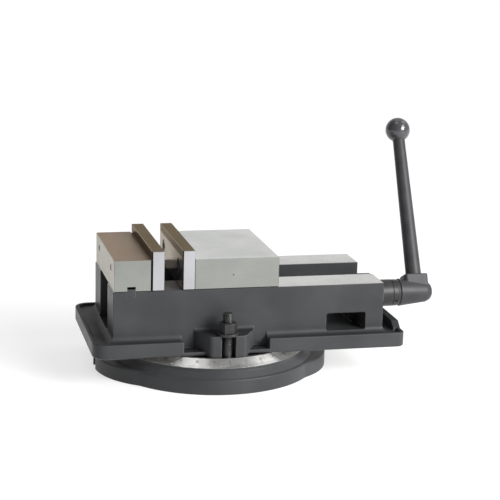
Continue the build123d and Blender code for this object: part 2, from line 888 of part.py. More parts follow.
def make_collar_screw():
    """Grub screw of the lock collar."""
    screw = Pos(0, 0, shank_radius) * Cylinder(
        lock_screw_radius, lock_screw_length, align=(Align.CENTER, Align.CENTER, Align.MIN)
    )
    key_bottom = shank_radius + lock_screw_length - lock_screw_key_depth
    screw -= Pos(0, 0, key_bottom) * hex_prism(lock_screw_key, lock_screw_length)
    return on_screw(screw, lock_collar_start + lock_collar_length / 2, lock_screw_turn)


def on_crank(shape):
    """Leans a shape made along +Z from the screw's axis back with the crank."""
    return Pos(0, 0, screw_height) * Rot(-crank_angle, 0, 0) * shape


def make_crank_hub():
    """Cast hub with a hexagonal socket and a boss that carries the bar."""
    neck_end = hub_left + hub_neck_length
    line = Polyline(
        (hub_left, 0),
        (hub_left, hub_neck_radius),
        (neck_end, hub_neck_radius),
        (neck_end + hub_neck_chamfer, hub_radius),
        (hub_taper_end, hub_small_radius),
    )
    dome = Spline(
        (hub_taper_end, hub_small_radius),
        (hub_taper_end + hub_dome_reach, hub_small_radius * hub_dome_share),
        (hub_right, 0),
        tangents=[(0.94, -0.34), (0, -1)],
    )
    back = Line((hub_right, 0), (hub_left, 0))
    hub = revolve(make_face([*line.edges(), dome, back]), axis=Axis.X)
    half_length = boss_length / 2
    pad = block(
        boss_centre - half_length,
        boss_centre + half_length,
        -boss_width / 2,
        boss_width / 2,
        0,
        boss_height,
    )
    pad = fillet(pad.edges().filter_by(Axis.Z), boss_corner)
    pad = chamfer(pad.edges().group_by(Axis.Z)[-1], boss_chamfer)
    under = Pos(boss_centre, 0, 0) * Rot(0, 90, 0) * Cylinder(hub_small_radius, 2 * boss_length)
    below = block(0, hub_right + boss_length, -boss_width, boss_width, -breakthrough, boss_foot)
    hub += pad - (below - under)
    hub -= Pos(boss_centre, 0, bar_tenon_start) * Cylinder(
        bar_tenon_radius, boss_height, align=(Align.CENTER, Align.CENTER, Align.MIN)
    )
    socket_depth = hex_end + screw_end_gap - hub_left
    socket = Rot(0, 90, 0) * hex_prism(hex_across_flats + 2 * socket_gap, socket_depth)
    return on_crank(hub - Pos(hub_left, 0, 0) * socket)


def make_crank_bar():
    """Tapered round bar between the hub's boss and the ball."""
    seat = knob_centre - sqrt(knob_radius**2 - bar_top_radius**2)
    profile = Polyline(
        (0, bar_tenon_start),
        (bar_tenon_radius, bar_tenon_start),
        (bar_tenon_radius, boss_height),
        (bar_radius, boss_height),
        (bar_top_radius, seat),
        (knob_tenon_radius, seat),
        (knob_tenon_radius, seat + knob_tenon_length),
        (0, seat + knob_tenon_length),
        close=True,
    )
    bar = revolve(Plane.XZ * make_face(profile), axis=Axis.Z)
    return on_crank(Pos(boss_centre, 0, 0) * bar)


def make_ball_knob():
    """Solid ball on the end of the bar."""
    seat = knob_centre - sqrt(knob_radius**2 - bar_top_radius**2)
    ball = Pos(0, 0, knob_centre) * Sphere(knob_radius)
    ball -= Pos(0, 0, seat - knob_radius) * Box(4 * knob_radius, 4 * knob_radius, 2 * knob_radius)
    ball -= post(knob_tenon_radius, 0, 0, seat, seat + knob_tenon_length)
    return on_crank(Pos(boss_centre, 0, 0) * ball)


def main():
    os.makedirs("parts", exist_ok=True)
    save("swivel_base", make_swivel_base())
    save("vise_body", make_vise_body())
    save("swivel_pivot", make_swivel_pivot())
    save("pivot_screw", make_pivot_screw())
    save("clamp_bolts", group(both_sides(make_clamp_bolt())))
    save("clamp_washers", group(both_sides(make_clamp_washer())))
    front_nut, rear_nut = both_sides(make_clamp_nut())
    save("front_clamp_nut", front_nut)
    save("rear_clamp_nut", rear_nut)
    save("fixed_jaw", make_fixed_jaw())
    save("fixed_jaw_keys", group(both_sides(make_fixed_jaw_key())))
    save("fixed_jaw_bolts", group(both_sides(make_fixed_jaw_bolt())))
    save("fixed_jaw_plate", make_jaw_plate(fixed_jaw_right, rail_top, False))
    save(
        "movable_jaw_plate",
        make_jaw_plate(movable_plate_left, rail_top + plate_lift, True),
    )
    half_spacing = plate_bolt_spacing / 2
    depth = bolt_clearance
    fixed_face = fixed_plate_right - depth
    movable_face = movable_plate_left + depth
    fixed_screws = [make_plate_screw(fixed_face, -1, y) for y in (-half_spacing, half_spacing)]
    movable_screws = [make_plate_screw(movable_face, 1, y) for y in (-half_spacing, half_spacing)]
    save("fixed_plate_screws", group(fixed_screws))
    save("movable_plate_screws", group(movable_screws))
    save("movable_jaw", make_movable_jaw())
    save("carriage_nut", make_carriage_nut())
    save("half_ball", make_half_ball())
    save("jaw_set_screw", make_jaw_set_screw())
    save("lead_screw", make_lead_screw())
    save("screw_bushing", make_screw_bushing())
    save("inner_race", make_race(shank_start))
    save("outer_race", make_race(outer_race_start))
    save("needle_cage", make_needle_cage())
    save("needle_rollers", make_needle_rollers())
    save("bearing_cap", make_bearing_cap())
    save("cap_screws", make_cap_screws())
    save("shaft_seal", make_shaft_seal())
    save("lock_collar", make_lock_collar())
    save("collar_screw", make_collar_screw())
    save("crank_hub", make_crank_hub())
    save("crank_bar", make_crank_bar())
    save("ball_knob", make_ball_knob())


main()
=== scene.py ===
from math import pi, radians, cos, sin

import bmesh
import bpy
from mathutils import Matrix, Vector


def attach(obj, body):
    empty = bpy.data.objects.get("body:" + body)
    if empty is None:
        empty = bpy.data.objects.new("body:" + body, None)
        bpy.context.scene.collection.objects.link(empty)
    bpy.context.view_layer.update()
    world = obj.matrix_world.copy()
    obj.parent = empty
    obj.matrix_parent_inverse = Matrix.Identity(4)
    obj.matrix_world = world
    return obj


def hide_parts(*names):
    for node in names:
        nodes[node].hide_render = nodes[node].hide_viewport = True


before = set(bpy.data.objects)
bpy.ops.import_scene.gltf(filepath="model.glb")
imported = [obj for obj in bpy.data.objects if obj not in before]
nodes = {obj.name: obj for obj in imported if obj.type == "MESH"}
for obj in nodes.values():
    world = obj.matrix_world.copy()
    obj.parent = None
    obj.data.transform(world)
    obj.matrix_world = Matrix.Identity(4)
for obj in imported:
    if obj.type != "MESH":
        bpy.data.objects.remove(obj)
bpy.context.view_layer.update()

# ---------------------------------------------------------------- studio sky
# A dim room with a pale backdrop behind the vise and three soft boxes overhead, so that
# bare steel has bright and dark places to mirror. The left of the room is darkest. A
# soft box is its direction, half its width in degrees and its level.
white = (1, 1, 1, 1)
room_level = 0.40
left_level = -0.28
backdrop_level = 0.52
soft_boxes = (
    (Vector((-0.22, -0.11, 0.97)), 8, 1.7),
    (Vector((0.63, 0.10, 0.77)), 11, 1.7),
    (Vector((0.07, 0.40, 0.92)), 11, 0.7),
)
box_edge = 5
backdrop_near = (0.45, 0.60)
backdrop_foot = (-0.05, 0.05)
backdrop_head = (0.50, 0.62)
left_fade = (-0.6, -0.1)


class Shade:
    """A socket in a tree of shader nodes. Sums and products of values add Math nodes."""

    def __init__(self, tree, socket=None):
        self.tree = tree
        self.socket = socket

    def node(self, kind, settings=None, values=None, out=0):
        """Adds a node: its type, its settings, then the values or links of its sockets."""
        made = self.tree.nodes.new("ShaderNode" + kind)
        for name, value in (settings or {}).items():
            setattr(made, name, value)
        for name, value in (values or {}).items():
            if isinstance(value, Shade):
                self.tree.links.new(value.socket, made.inputs[name])
            else:
                made.inputs[name].default_value = value
        return Shade(self.tree, made.outputs[out] if made.outputs else None)

    def maths(self, operation, first, second=0.0):
        return self.node("Math", {"operation": operation}, {0: first, 1: second})

    def __add__(self, other):
        return self.maths("ADD", self, other)

    def __sub__(self, other):
        return self.maths("SUBTRACT", self, other)

    def __mul__(self, other):
        return self.maths("MULTIPLY", self, other)

    def __truediv__(self, other):
        return self.maths("DIVIDE", self, other)

    def __rsub__(self, other):
        return self.maths("SUBTRACT", other, self)

    def __abs__(self):
        return self.maths("ABSOLUTE", self)

    __radd__ = __add__
    __rmul__ = __mul__


def rise(value, low, high):
    """0 below low, 1 above high and a smooth ramp between."""
    ramp = {"interpolation_type": "SMOOTHSTEP"}
    return value.node("MapRange", ramp, {"Value": value, "From Min": low, "From Max": high})


def fall(value, low, high):
    """1 below low, 0 above high and a smooth ramp between."""
    return 1 - rise(value, low, high)


def split(vector):
    """The X, Y and Z of a vector."""
    return [vector.node("SeparateXYZ", None, {0: vector}, out) for out in range(3)]


world = bpy.data.worlds.new("soft_box_sky")
bpy.context.scene.world = world
world.use_nodes = True
world.node_tree.nodes.clear()
start = Shade(world.node_tree)
outward = start.node("TexCoord")
across, along, upward = split(outward)
backdrop = rise(along, *backdrop_near) * fall(upward, *backdrop_head) * rise(upward, *backdrop_foot)
strength = room_level + left_level * fall(across, *left_fade) + backdrop_level * backdrop
for direction, radius, level in soft_boxes:
    facing = {0: outward, 1: direction.normalized()}
    nearness = start.node("VectorMath", {"operation": "DOT_PRODUCT"}, facing, "Value")
    faint = cos(radians(radius + box_edge))
    full = cos(radians(radius))
    strength = strength + level * rise(nearness, faint, full)
glow = start.node("Background", None, {"Color": white, "Strength": strength})
start.node("OutputWorld", None, {"Surface": glow})

# ---------------------------------------------------------------- bench top
# A plain pale light table that runs out of sight in every direction; its glow softens
# the shadows. The vise stands loose on the machined underside of its base.
bench_half = 40.0
bench_colour = (0.42, 0.42, 0.42, 1)
bench_glow = 0.62
bench_roughness = 0.7
bench_shine = 0.2


def new_finish(name):
    """An empty material, and the point that its nodes are added from."""
    material = bpy.data.materials.new(name)
    material.use_nodes = True
    material.node_tree.nodes.clear()
    return material, Shade(material.node_tree)


def close_finish(start, values):
    """Ends a finish in one surface shader."""
    surface = start.node("BsdfPrincipled", None, values)
    start.node("OutputMaterial", None, {"Surface": surface})


def new_piece(name, form, material):
    """Turns a bmesh into an object with one material."""
    mesh = bpy.data.meshes.new(name)
    form.to_mesh(mesh)
    form.free()
    mesh.materials.append(material)
    piece = bpy.data.objects.new(name, mesh)
    bpy.context.scene.collection.objects.link(piece)
    return piece


bench_paint, start = new_finish("bench_paint")
close_finish(start, {
    "Base Color": bench_colour,
    "Roughness": bench_roughness,
    "Specular IOR Level": bench_shine,
    "Emission Color": white,
    "Emission Strength": bench_glow,
})
form = bmesh.new()
bmesh.ops.create_grid(form, x_segments=2, y_segments=2, size=bench_half)
bench = new_piece("bench", form, bench_paint)

# ---------------------------------------------------------------- lamps
# A broad key light from high at the right front, as soft as a large diffuser makes it,
# and a soft box nearer the crank, so that the right of the castings is the brighter.
key_power = 1.8
key_spread = radians(32)
key_aim = Vector((-0.70, 0.75, -0.66))
key_distance = 2.0
crank_box_place = Vector((0.95, -1.05, 0.70))
crank_box_size = 0.6
crank_box_power = 20.0
crank_target = Vector((0.20, 0.0, 0.06))


def aimed(lamp, place, aim):
    """Adds a lamp that shines along a direction."""
    holder = bpy.data.objects.new(lamp.name, lamp)
    holder.location = place
    holder.rotation_mode = "QUATERNION"
    holder.rotation_quaternion = aim.to_track_quat("-Z", "Y")
    bpy.context.scene.collection.objects.link(holder)


key = bpy.data.lights.new("key", "SUN")
key.energy = key_power
key.angle = key_spread
aimed(key, -key_distance * key_aim, key_aim)
crank_box = bpy.data.lights.new("crank_box", "AREA")
crank_box.energy = crank_box_power
crank_box.size = crank_box_size
aimed(crank_box, crank_box_place, crank_target - crank_box_place)

# ---------------------------------------------------------------- camera
# A long lens, a little above the jaws and to the left of the bed's front, with the
# slight tilt of a camera held by hand.
camera_place = Vector((-0.378124, -1.719350, 0.563588))
camera_swing = radians(-13.92)
camera_height = radians(13.40)
camera_tilt = radians(1.56)
camera_lens = 106.23
camera_sight = 200.0

camera = bpy.data.cameras.new("camera")
camera.lens = camera_lens
camera.clip_end = camera_sight
level = cos(camera_height)
back = Vector((sin(camera_swing) * level, -cos(camera_swing) * level, sin(camera_height)))
right = Vector((cos(camera_swing), sin(camera_swing), 0.0))
turned = Matrix((right, back.cross(right), back)).transposed()
turned = turned @ Matrix.Rotation(camera_tilt, 3, "Z")
viewpoint = bpy.data.objects.new("camera", camera)
viewpoint.matrix_world = Matrix.Translation(camera_place) @ turned.to_4x4()
bpy.context.scene.collection.objects.link(viewpoint)
bpy.context.scene.camera = viewpoint
bpy.context.scene.view_settings.view_transform = "Standard"

# ---------------------------------------------------------------- swivel base
# A round grey-iron casting with two slotted ears, in dark machine enamel. Its top, its
# underside and the bevel that carries the degree scale are turned and left bare. A hair
# is the width over which one finish gives way to the next.
enamel = (0.040, 0.041, 0.043, 1)
enamel_thin = (0.076, 0.077, 0.081, 1)
enamel_shine = 0.15
bare_iron = (0.50, 0.50, 0.49, 1)
stained_iron = (0.34, 0.33, 0.31, 1)
# Lighter enamel for the edges: partly rubbed paint, partly a painted edge highlight.
enamel_scuffed_and_highlit = (0.150, 0.150, 0.155, 1)
line_black = (0.02, 0.02, 0.02, 1)
face_height = 0.038
bevel_inner = 0.108
bevel_outer = 0.118
bevel_drop = 0.0095
degree_line = 0.00012
line_blur = 1.6
degree_lines = ((1, 0.1152), (5, 0.1136), (10, 0.1122))
turning_lines = 5000.0
turned_gloss = (0.16, 0.34)
turning_depth = 0.08
line_depth = 0.5
hair = 0.0001
edge_samples = 8
edge_turn = (0.80, 0.995)
base_easing = 0.0012
casting_relief = 0.00016
enamel_wear_and_highlight = (90.0, 3.0, 0.38, 0.60)
enamel_clouds = (14.0, 3.0, 0.25, 0.75)
wear_and_highlight_share = 0.7
cloud_share = 0.5
gloss_grain = (45.0, 4.0)
enamel_gloss = (0.30, 0.46)
coarse_sand = (420.0, 3.0)
fine_sand = 1500.0
coarse_share = 0.7
iron_stains = (40.0, 4.0, 0.40, 0.75)


def grain(place, scale, detail=2.0):
    """Soft random patches; scale is how many there are to the metre."""
    return place.node("TexNoise", None, {"Vector": place, "Scale": scale, "Detail": detail})


def patches(place, scale, detail, low, high):
    """Soft patches: 0 where the grain is below low and 1 where it is above high."""
    return rise(grain(place, scale, detail), low, high)


def stretched(place, x, y, z):
    """The place with each axis drawn out or squeezed."""
    scaled = {"operation": "MULTIPLY"}
    return place.node("VectorMath", scaled, {0: place, 1: (x, y, z)})


def blended(mask, low, high):
    """One colour where the mask is 0 and another where it is 1."""
    return mask.node("Mix", {"data_type": "RGBA"}, {0: mask, 6: low, 7: high}, 2)


def shifted(mask, low, high):
    """One number where the mask is 0 and another where it is 1."""
    return mask * (high - low) + low


def rounded_edges(start, radius):
    """The surface's direction with every edge eased by this radius."""
    return start.node("Bevel", {"samples": edge_samples}, {"Radius": radius})


def edge_mask(start, eased):
    """1 on the edges that the easing has turned away from the flat faces."""
    facing = start.node("NewGeometry", out="Normal")
    agree = start.node("VectorMath", {"operation": "DOT_PRODUCT"}, {0: eased, 1: facing}, "Value")
    return fall(agree, *edge_turn)


def bumped(height, depth, normal):
    """Adds a relief of this depth, in metres, to a normal."""
    relief = {"Height": height, "Distance": depth, "Normal": normal, "Strength": 1.0}
    return height.node("Bump", None, relief)


def enamelled(start, place, eased):
    """Colour, roughness and relief of enamel over a sand casting."""
    # Edges are lightened in patches, partly as real paint wear and partly as a painted highlight.
    worn = edge_mask(start, eased) * patches(place, *enamel_wear_and_highlight)
    coat = blended(patches(place, *enamel_clouds) * cloud_share, enamel, enamel_thin)
    paint = blended(worn * wear_and_highlight_share, coat, enamel_scuffed_and_highlit)
    gloss = shifted(grain(place, *gloss_grain), *enamel_gloss)
    relief = grain(place, *coarse_sand) * coarse_share + grain(place, fine_sand) * (1 - coarse_share)
    return paint, gloss, relief


def clothe(name, material):
    """Gives a CAD piece its finish."""
    for holder in nodes[name].material_slots:
        holder.material = material


casting_paint, start = new_finish("base_casting")
place = start.node("TexCoord", out="Object")
x, y, z = split(place)
eased = rounded_edges(start, base_easing)
paint, gloss, relief = enamelled(start, place, eased)
flat_place = stretched(place, 1, 1, 0)
radius = start.node("VectorMath", {"operation": "LENGTH"}, {0: flat_place}, "Value")
angle = start.maths("ARCTAN2", y, x) * (180 / pi)
bevel_foot = face_height - bevel_drop
on_bevel = rise(radius, bevel_inner, bevel_inner + hair) * rise(z, bevel_foot, bevel_foot + 3 * hair)
on_face = rise(z, face_height - 2 * hair, face_height - hair)
underneath = fall(z, hair, 2 * hair)
bare = start.maths("MAXIMUM", start.maths("MAXIMUM", on_bevel, on_face), underneath)
rings = {"W": radius, "Scale": turning_lines, "Detail": 2.0}
turning = start.node("TexNoise", {"noise_dimensions": "1D"}, rings)
iron = blended(patches(place, *iron_stains), bare_iron, stained_iron)
lines = None
for every, inner in degree_lines:
    off_line = start.maths("PINGPONG", angle * (1 / every), 0.5) * radius * radians(every)
    tick = fall(off_line, degree_line, degree_line * line_blur) * rise(radius, inner, inner + hair)
    lines = tick if lines is None else start.maths("MAXIMUM", lines, tick)
lines = lines * on_bevel
colour = blended(bare, paint, blended(lines, iron, line_black))
rough = gloss * (1 - bare) + shifted(turning, *turned_gloss) * bare
height = relief * (1 - bare) + (turning * turning_depth - lines * line_depth) * bare
close_finish(start, {
    "Base Color": colour,
    "Roughness": rough,
    "Metallic": bare * (1 - lines),
    "Specular IOR Level": enamel_shine,
    "Normal": bumped(height, casting_relief, eased),
})
clothe("swivel_base", casting_paint)

# ---------------------------------------------------------------- degree figures
# Small figures stamped on the bevel at every tenth degree and filled with black. They
# count from 0 at the front and the back up to 90 at each end of the bed.
figure_every = 10
figure_height = 0.0030
font_share = 1.38
figure_middle = 0.0048
figure_lift = 0.00004
ink_black = (0.012, 0.012, 0.012, 1)
ink_worn = (0.035, 0.034, 0.033, 1)
ink_grain = 900.0
ink_roughness = 0.55

ink, start = new_finish("figure_ink")
place = start.node("TexCoord", out="Object")
tone = blended(grain(place, ink_grain), ink_black, ink_worn)
close_finish(start, {"Base Color": tone, "Roughness": ink_roughness})
slant = Vector((bevel_outer - bevel_inner, -bevel_drop))
slant_length = slant.length
form = bmesh.new()
for degree in range(0, 360, figure_every):
    quarter = degree % 180
    lettering = bpy.data.curves.new("figure", "FONT")
    lettering.body = str(min(quarter, 180 - quarter))
    lettering.size = figure_height * font_share
    lettering.align_x = "CENTER"
    lettering.align_y = "CENTER"
    lettering.resolution_u = 3
    holder = bpy.data.objects.new("figure", lettering)
    outline = bpy.data.meshes.new_from_object(holder)
    for corner in outline.vertices:
        slope = (figure_middle - corner.co.y) / slant_length
        reach = bevel_inner + slant.x * slope + figure_lift * bevel_drop / slant_length
        turn = radians(degree - 90) + corner.co.x / reach
        lift = face_height + slant.y * slope + figure_lift
        corner.co = (reach * cos(turn), reach * sin(turn), lift)
    form.from_mesh(outline)
    bpy.data.objects.remove(holder)
    bpy.data.curves.remove(lettering)
figures = new_piece("degree_figures", form, ink)
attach(figures, "base")

# ---------------------------------------------------------------- bed casting
# One iron casting with the tray flange, the clamp lugs and the two box ways. The ways'
# tops and the seat on the base are ground bare, and everything else is enamelled. Painted
# shade darkens the enamel's upward faces in patches, and the ways where they lie open
# between the jaws.
way_top = 0.114
seat_height = 0.0381
ground_bright = (0.64, 0.64, 0.62, 1)
ground_dull = (0.50, 0.50, 0.48, 1)
gap_left = -0.0727
gap_right = -0.0511
# Painted shade on the ways where they lie open between the jaws.
gap_painted_shade = (0.045, 0.045, 0.045, 1)
# Painted shade on the enamel's upward faces, in patches.
tray_painted_shade = (0.019, 0.020, 0.022, 1)
gap_fade = 0.001
tray_grain = (30.0, 3.0)
tray_cover = (0.75, 1.0)
tray_dulling = 0.15
up_sharp = (0.5, 0.6)
up_soft = (0.5, 0.9)
down_sharp = (-0.6, -0.5)
bed_easing = 0.0018
steel_clouds = (22.0, 3.0, 0.30, 0.72)
line_share = 0.3
way_lines = (60.0, 3500.0, 3500.0)
way_gloss = (0.20, 0.36)
way_relief = 0.05


def ground(place, across_lines, tone_a, tone_b):
    """Colour of ground steel, its fine lines and its broad clouds."""
    lines = grain(stretched(place, *across_lines), 1.0, 2.0)
    clouds = patches(place, *steel_clouds)
    mix = clouds * (1 - line_share) + lines * line_share
    return blended(mix, tone_a, tone_b), lines, clouds


bed_paint, start = new_finish("bed_casting")
place = start.node("TexCoord", out="Object")
facing = split(start.node("TexCoord", out="Normal"))[2]
x, _, z = split(place)
eased = rounded_edges(start, bed_easing)
paint, gloss, relief = enamelled(start, place, eased)
on_ways = rise(z, way_top - 2 * hair, way_top - hair) * rise(facing, *up_sharp)
on_seat = fall(z, seat_height, seat_height + hair) * fall(facing, *down_sharp)
bare = start.maths("MAXIMUM", on_ways, on_seat)
steel, lines = ground(place, way_lines, ground_bright, ground_dull)[:2]
# Painted shade: the way tops between the jaws are darkened and lose their metal.
gap_shade_mask = on_ways * rise(x, gap_left - gap_fade, gap_left) * fall(x, gap_right, gap_right + gap_fade)
steel = blended(gap_shade_mask, steel, gap_painted_shade)
# Painted shade: every upward face of the enamel is darkened in patches.
tray_shade_mask = rise(facing, *up_soft) * shifted(grain(place, *tray_grain), *tray_cover)
paint = blended(tray_shade_mask, paint, tray_painted_shade)
gloss = gloss + tray_shade_mask * tray_dulling
close_finish(start, {
    "Base Color": blended(bare, paint, steel),
    "Roughness": gloss * (1 - bare) + shifted(lines, *way_gloss) * bare,
    "Metallic": bare * (1 - gap_shade_mask),
    "Specular IOR Level": enamel_shine,
    "Normal": bumped(relief * (1 - bare) + lines * way_relief * bare, casting_relief, eased),
})
clothe("vise_body", bed_paint)

# ---------------------------------------------------------------- jaw keys
# Two short keys milled from the same iron, enamelled with the bed, that stand in a
# slot across the ways and square up the fixed jaw.
clothe("fixed_jaw_keys", bed_paint)

# ---------------------------------------------------------------- bolts and screws
# Hardened fasteners with a black oxide skin: oiled, a little brown in places, and
# rubbed to steel on the corners where a wrench bears.
oxide = (0.017, 0.017, 0.018, 1)
oxide_brown = (0.030, 0.026, 0.023, 1)
rubbed = (0.30, 0.30, 0.30, 1)
oxide_easing = 0.0005
oxide_rub = (260.0, 3.0, 0.42, 0.62)
oxide_patches = (150.0, 4.0, 0.45, 0.75)
oxide_grain = (300.0, 3.0)
oxide_gloss = (0.34, 0.52)
oxide_metal = (0.05, 0.85)
oxide_pits = 2600.0
oxide_relief = 0.00003

black_oxide, start = new_finish("black_oxide")
place = start.node("TexCoord", out="Object")
eased = rounded_edges(start, oxide_easing)
rub = edge_mask(start, eased) * patches(place, *oxide_rub)
skin = blended(patches(place, *oxide_patches), oxide, oxide_brown)
close_finish(start, {
    "Base Color": blended(rub, skin, rubbed),
    "Roughness": shifted(grain(place, *oxide_grain), *oxide_gloss),
    "Metallic": shifted(rub, *oxide_metal),
    "Normal": bumped(grain(place, oxide_pits), oxide_relief, eased),
})
for name in (
    "pivot_screw",
    "clamp_washers",
    "front_clamp_nut",
    "rear_clamp_nut",
    "fixed_jaw_bolts",
    "fixed_plate_screws",
    "movable_plate_screws",
    "jaw_set_screw",
    "cap_screws",
    "collar_screw",
):
    clothe(name, black_oxide)

# ---------------------------------------------------------------- bearing cap
# A turned steel cap, blacked like the fasteners, that four cap screws hold to the bed's
# bridge. The screw's shank comes out through its nose.
clothe("bearing_cap", black_oxide)

# ---------------------------------------------------------------- lock collar
# A blacked steel ring held on the shank by its own set screw.
clothe("lock_collar", black_oxide)

# ---------------------------------------------------------------- clamp bolts
# Square-headed T-bolts that turn with the bed in the base's round slot. The stems are
# threaded where the nuts run, and end in a chamfer.
bolt_circle = 0.096
stem_radius = 0.006
stem_root = 0.0051
stem_top = 0.090
thread_bottom = 0.052
thread_pitch = 0.00175
head_half = 0.010
head_top = 0.02445
head_bottom = 0.01545
head_chamfer = 0.0008
stud_sides = 32
stud_run_out = 0.0012
overlap = 0.001
crisp_angle = 32


def helix(form, low, high, root, crest, pitch, hand, sides, run_out):
    """Adds a threaded rod along Z whose crests die away at both ends."""
    # Each corner of the outline: its share of one pitch, and its radius.
    corners = ((0.0, root), (0.34, root), (0.5, crest), (0.84, crest), (1.0, root))
    turns = int((high - low) / pitch) + 2
    last_row = None
    for step in range(-sides, turns * sides):
        turn = hand * 2 * pi * step / sides
        row = []
        for part, radius in corners:
            height = min(max(low + pitch * (step / sides + part), low), high)
            swell = min(1.0, (height - low) / run_out, (high - height) / run_out)
            reach = root + (radius - root) * max(swell, 0.0)
            row.append(form.verts.new((reach * cos(turn), reach * sin(turn), height)))
        if last_row:
            for a, b, c, d in zip(last_row, row, row[1:], last_row[1:]):
                form.faces.new((a, b, c, d))
        last_row = row
    bmesh.ops.remove_doubles(form, verts=form.verts, dist=1e-6)
    bmesh.ops.dissolve_degenerate(form, edges=form.edges, dist=1e-7)
    bmesh.ops.holes_fill(form, edges=form.edges, sides=0)
    bmesh.ops.recalc_face_normals(form, faces=form.faces)


def lathe(form, profile, sides):
    """Adds a solid turned about Z from the (height, radius) corners of its outline."""
    rings = []
    for height, radius in profile:
        turns = [2 * pi * step / sides for step in range(sides)]
        rings.append([form.verts.new((radius * cos(t), radius * sin(t), height)) for t in turns])
    for low, high in zip(rings, rings[1:]):
        for i in range(sides):
            j = (i + 1) % sides
            form.faces.new((low[i], low[j], high[j], high[i]))
    form.faces.new(rings[0][::-1])
    form.faces.new(rings[-1])


def crisp(piece):
    """Smooth shading that keeps the sharp edges."""
    piece.data.shade_smooth()
    piece.data.set_sharp_from_angle(angle=radians(crisp_angle))


form = bmesh.new()
helix(form, thread_bottom, stem_top, stem_root, stem_radius, thread_pitch, 1, stud_sides, stud_run_out)
stem = ((head_top - overlap, stem_radius), (thread_bottom + overlap, stem_radius))
lathe(form, stem, stud_sides)
head = bmesh.ops.create_cube(form, size=1.0)["verts"]
bmesh.ops.scale(form, vec=(2 * head_half, 2 * head_half, head_top - head_bottom), verts=head)
bmesh.ops.translate(form, vec=(0, 0, (head_top + head_bottom) / 2), verts=head)
head_edges = list(dict.fromkeys(edge for corner in head for edge in corner.link_edges))
bmesh.ops.bevel(form, geom=head_edges, offset=head_chamfer, segments=2, affect="EDGES")
rear = bmesh.ops.duplicate(form, geom=form.verts[:] + form.edges[:] + form.faces[:])["geom"]
rear_verts = {part for part in rear if isinstance(part, bmesh.types.BMVert)}
for corner in form.verts:
    corner.co.y += bolt_circle if corner in rear_verts else -bolt_circle
clamp_studs = new_piece("clamp_studs", form, black_oxide)
crisp(clamp_studs)
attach(clamp_studs, "bed")
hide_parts("clamp_bolts")

# ---------------------------------------------------------------- turned steel
# Plain turned and ground pieces: the pivot, the bearing's races and rollers, the half
# ball. They are bright, lightly oiled, with fine tool rings.
steel_bright = (0.56, 0.56, 0.56, 1)
steel_oiled = (0.40, 0.39, 0.37, 1)
turned_easing = 0.0004
tool_rings = (5200.0, 60.0, 60.0)
ring_relief = 0.00001
steel_oil = (70.0, 3.0, 0.35, 0.75)
bright_gloss = (0.20, 0.34)
oil_gloss = 0.06

turned_steel, start = new_finish("turned_steel")
place = start.node("TexCoord", out="Object")
eased = rounded_edges(start, turned_easing)
rings = grain(stretched(place, *tool_rings), 1.0)
oil = patches(place, *steel_oil)
close_finish(start, {
    "Base Color": blended(oil, steel_bright, steel_oiled),
    "Metallic": 1.0,
    "Roughness": shifted(rings, *bright_gloss) - oil * oil_gloss,
    "Normal": bumped(rings, ring_relief, eased),
})
for name in (
    "swivel_pivot",
    "inner_race",
    "outer_race",
    "needle_rollers",
    "half_ball",
):
    clothe(name, turned_steel)

# ---------------------------------------------------------------- bronze pieces
# The screw's bush, pressed into the bed's bridge, and the needle bearing's cage are
# turned from bearing bronze.
bronze_bright = (0.60, 0.40, 0.18, 1)
bronze_dark = (0.36, 0.22, 0.10, 1)
bronze_easing = 0.0003
bronze_tarnish = (120.0, 4.0, 0.35, 0.7)
bronze_gloss = (0.24, 0.40)

bronze, start = new_finish("bearing_bronze")
place = start.node("TexCoord", out="Object")
rings = grain(stretched(place, *tool_rings), 1.0)
tarnish = patches(place, *bronze_tarnish)
close_finish(start, {
    "Base Color": blended(tarnish, bronze_bright, bronze_dark),
    "Metallic": 1.0,
    "Roughness": shifted(rings, *bronze_gloss),
    "Normal": bumped(rings, ring_relief, rounded_edges(start, bronze_easing)),
})
clothe("screw_bushing", bronze)
clothe("needle_cage", bronze)

# ---------------------------------------------------------------- felt seal
# A ring of grey wool felt soaked in oil, pushed into the cap's nose round the shank.
felt_dark = (0.030, 0.028, 0.026, 1)
felt_fibre = (0.110, 0.105, 0.095, 1)
felt_lay = (900.0, 2600.0, 2600.0)
felt_tones = (0.3, 0.7)
felt_roughness = (0.75, 0.95)
felt_relief = 0.0002
felt_easing = 0.0006

felt, start = new_finish("oiled_felt")
place = start.node("TexCoord", out="Object")
fibres = grain(stretched(place, *felt_lay), 1.0, 4.0)
close_finish(start, {
    "Base Color": blended(rise(fibres, *felt_tones), felt_dark, felt_fibre),
    "Roughness": shifted(fibres, *felt_roughness),
    "Normal": bumped(fibres, felt_relief, rounded_edges(start, felt_easing)),
})
clothe("shaft_seal", felt)

# ---------------------------------------------------------------- carriage
# The nut block that hangs below the ways and pulls the movable jaw down: ductile iron,
# milled all over and dark with oil in patches.
milled_iron = (0.20, 0.20, 0.195, 1)
oily_iron = (0.10, 0.098, 0.09, 1)
mill_marks = (700.0, 2400.0, 2400.0)
mill_oil = (35.0, 4.0, 0.35, 0.7)
mill_metal = 0.9
mill_gloss = (0.30, 0.5)
mill_oil_gloss = 0.08
mill_relief = 0.00002
mill_easing = 0.0006

milled, start = new_finish("milled_iron")
place = start.node("TexCoord", out="Object")
swirls = grain(stretched(place, *mill_marks), 1.0, 2.0)
oil = patches(place, *mill_oil)
close_finish(start, {
    "Base Color": blended(oil, milled_iron, oily_iron),
    "Metallic": mill_metal,
    "Roughness": shifted(swirls, *mill_gloss) - oil * mill_oil_gloss,
    "Normal": bumped(swirls, mill_relief, rounded_edges(start, mill_easing)),
})
clothe("carriage_nut", milled)

